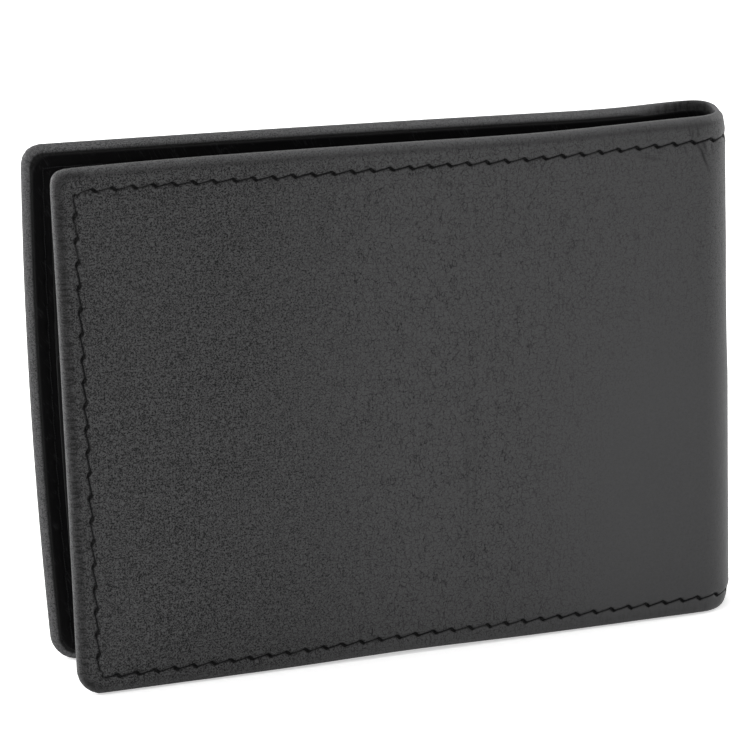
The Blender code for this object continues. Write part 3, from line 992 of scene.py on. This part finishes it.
class WALLET_OT_lining(bpy.types.Operator):
    """Builds the inner leather, sewn over the hem and running on round the fold"""

    bl_idname = "wallet.lining"
    bl_label = "Lining"

    def execute(self, context):
        for half in HALVES:
            sheet = Sheet(
                half, None, half.end - PANEL_INSET, PANEL_INSET, HEIGHT - PANEL_INSET, PANEL_CORNER_RADIUS,
                PANEL_HALF_THICKNESS, 0.6 * MM, 0.22 * MM, under=0.4 * MM, steps=6,
            )
            near_fold = 1 - ease((sheet.line - 5 * MM) / (9 * MM))
            wrinkle = 0.16 * MM * sheet.noise(1.3, 14, 60 + half.side) * near_fold
            wrinkle *= ease(sheet.line / (1.5 * MM))
            relief = 0.45 * seam_relief(*sheet.seam()) + wrinkle
            out = lining_level(half, sheet.way) - sheet.height - sheet.face * relief
            obj = sheet.build(f"{half.name}_inner_panel", out)
            give_material(obj, "lining_leather")
            blend_over_crease(obj, half)
            nodes = ["inner_panel_front", "spine_lining"] if half.side == FRONT else ["inner_panel_rear"]
            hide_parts(*nodes)
        return {"FINISHED"}


class WALLET_OT_slots(bpy.types.Operator):
    """Builds the card slots, and the cloth that continues the upper ones downwards"""

    bl_idname = "wallet.slots"
    bl_label = "Card slots"

    def execute(self, context):
        for half in HALVES:
            for order, row in enumerate(("upper", "middle", "lower")):
                self.sheet(half, f"slot_{row}", order, SLOT_HALF_THICKNESS, "slot_leather")
                if row != "lower":
                    self.sheet(half, f"pocket_cloth_{row}", order, CLOTH_HALF_THICKNESS, "pocket_cloth")
        return {"FINISHED"}

    def sheet(self, half, piece, order, half_thickness, slot):
        """One slot or its cloth, a layer further in for each order. A line is pressed below a slot's top."""
        node = f"{piece}_{half.name}"
        limits = node_limits(half, node)
        sheet = Sheet(
            half, *limits, SLOT_CORNER_RADIUS, half_thickness, 1.0 * MM, 0.3 * MM, under=0.2 * MM, steps=6
        )
        pitch = 2 * SLOT_HALF_THICKNESS + LAYER_AIR
        deepest = -EDGE_RADIUS - 2 * LAYER_AIR - 2 * PANEL_HALF_THICKNESS - SLOT_HALF_THICKNESS
        below = limits[3] - sheet.row
        pressed = -0.09 * MM * hump(below, 0.28, 1.6) if slot == "slot_leather" else 0.0
        wave = 0.04 * MM * sheet.noise(9, 6, 80 + order + half.side)
        out = deepest - order * pitch - sheet.height - sheet.face * (pressed + wave)
        obj = sheet.build(f"{half.name}_{piece}", out, seam=False)
        give_material(obj, slot)
        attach(obj, f"{half.name}_half")
        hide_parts(node)


class WALLET_OT_boards(bpy.types.Operator):
    """Builds the filler board inside each cover"""

    bl_idname = "wallet.boards"
    bl_label = "Filler boards"

    def execute(self, context):
        for half in HALVES:
            node = f"board_{half.name}"
            sheet = Sheet(
                half, *node_limits(half, node), BOARD_CORNER_RADIUS, BOARD_HALF_THICKNESS, 3.0 * MM, 0.3 * MM,
                under=0.2 * MM, steps=4,
            )
            obj = sheet.build(f"{half.name}_board", BOARD_LEVEL - sheet.height, seam=False)
            give_material(obj, "filler_board")
            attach(obj, f"{half.name}_half")
            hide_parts(node)
        return {"FINISHED"}


class WALLET_OT_seam(bpy.types.Operator):
    """Sews the seam: top thread on the cover, bobbin thread on the inner panels"""

    bl_idname = "wallet.seam"
    bl_label = "Seam"

    def execute(self, context):
        ends = {"top": np.array([0.0]), "bottom": np.array([STITCHES - 1.0])}
        threads = {
            "outer": ("seam_thread", 0.1 * MM, top_thread_level, 0.6 * MM, 1),
            "inner": ("bobbin_thread", 0.09 * MM, bobbin_thread_level, 0.3 * MM, -1),
        }
        for kind, (slot, *thread) in threads.items():
            for half in HALVES:
                rows = [(half, np.arange(1.0, STITCHES - 1.0))]
                obj = add_stitches(f"{half.name}_stitches_{kind}", rows, *thread)
                give_material(obj, slot)
                blend_over_crease(obj, half)
                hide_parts(f"thread_{kind}_{half.name}")
            for end, holes in ends.items():
                rows = [(half, holes) for half in HALVES]
                obj = add_stitches(f"spine_stitches_{kind}_{end}", rows, *thread)
                give_material(obj, slot)
                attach(obj, "spine")
                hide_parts(f"thread_{kind}_spine_{end}")
        return {"FINISHED"}


class WALLET_OT_stage(bpy.types.Operator):
    """Sets the floor, the lamps, the white surround and the camera"""

    bl_idname = "wallet.stage"
    bl_label = "Stage"

    def execute(self, context):
        self.floor()
        self.world()
        self.lamps()
        self.camera()
        context.scene.view_settings.view_transform = "Standard"
        return {"FINISHED"}

    def floor(self):
        """A wide white floor that keeps the shadow and glows where the camera sees it."""
        mesh = bpy.data.meshes.new("floor")
        r = FLOOR_REACH
        mesh.from_pydata([(-r, -r, 0.0), (r, -r, 0.0), (r, r, 0.0), (-r, r, 0.0)], [], [(0, 1, 2, 3)])
        floor = new_object("floor", mesh)
        material = bpy.data.materials.new("wallet_floor")
        f = Finish(material)
        distance = f.node("VectorMath", {0: f.point()}, output="Value", operation="LENGTH")
        glow = f.tint((1.0, 1.0, 1.0), 1.0 + f.ramp(distance, GLOW_NEAR, GLOW_FAR))
        f.shade(
            Base_Color=FLOOR_GREY, Roughness=0.9, Specular_IOR_Level=0.0, Emission_Color=glow,
            Emission_Strength=f.seen() * FLOOR_GLOW,
        )
        mesh.materials.append(material)

    def world(self):
        """White where the camera sees it, and a dim light for the rest."""
        world = bpy.data.worlds.new("studio")
        bpy.context.scene.world = world
        f = Finish(world, "Background")
        f.shade(Color=(1.0, 1.0, 1.0, 1.0), Strength=WORLD_LIGHT + f.seen() * (1.0 - WORLD_LIGHT))

    def lamps(self):
        """Square lamps, all turned to the middle of the wallet."""
        middle = Vector((0.0, 0.0, HEIGHT / 2))
        for name, stand, size, power in LAMPS:
            light = bpy.data.lights.new(name, "AREA")
            light.size, light.energy = size, power
            lamp = new_object(name, light)
            lamp.location = stand
            lamp.rotation_euler = (middle - Vector(stand)).to_track_quat("-Z", "Y").to_euler()

    def camera(self):
        """The photograph's view: from the left and a little above, with a long lens and a slight roll."""
        data = bpy.data.cameras.new("camera")
        data.lens, data.sensor_width = LENS, SENSOR_WIDTH
        data.clip_start, data.clip_end = 0.01, 20.0
        fold = Vector((0.0, MIDDLE_Y, 0.0))
        stand = Vector(CAMERA_STAND) * MM + fold
        target = Vector(CAMERA_TARGET) * MM + fold
        roll = Matrix.Rotation(CAMERA_ROLL, 4, "Z")
        look = (target - stand).to_track_quat("-Z", "Y").to_matrix().to_4x4()
        camera = new_object("camera", data)
        camera.matrix_world = Matrix.Translation(stand) @ look @ roll
        bpy.context.scene.camera = camera


class WALLET_PT_panel(bpy.types.Panel):
    """Lists the wallet's shape, colours and pieces"""

    bl_label = "Wallet"
    bl_idname = "WALLET_PT_panel"
    bl_space_type = "VIEW_3D"
    bl_region_type = "UI"
    bl_category = "Wallet"

    def draw(self, context):
        for group in (shape(), colours()):
            box = self.layout.box()
            for key in group.__annotations__:
                box.prop(group, key)
        for operator in OPERATORS:
            self.layout.operator(operator.bl_idname)


OPERATORS = (
    WALLET_OT_cover, WALLET_OT_lining, WALLET_OT_slots, WALLET_OT_boards, WALLET_OT_seam, WALLET_OT_stage,
)
CLASSES = (WalletShape, WalletColours, *OPERATORS, WALLET_PT_panel)


def register():
    for cls in CLASSES:
        bpy.utils.register_class(cls)
    bpy.types.Scene.wallet_shape = bpy.props.PointerProperty(type=WalletShape)
    bpy.types.Scene.wallet_colours = bpy.props.PointerProperty(type=WalletColours)


def unregister():
    del bpy.types.Scene.wallet_colours
    del bpy.types.Scene.wallet_shape
    for cls in reversed(CLASSES):
        bpy.utils.unregister_class(cls)


def main():
    register()
    for step in ("stage", "cover", "lining", "slots", "boards", "seam"):
        getattr(bpy.ops.wallet, step)()


if __name__ == "__main__":
    main()
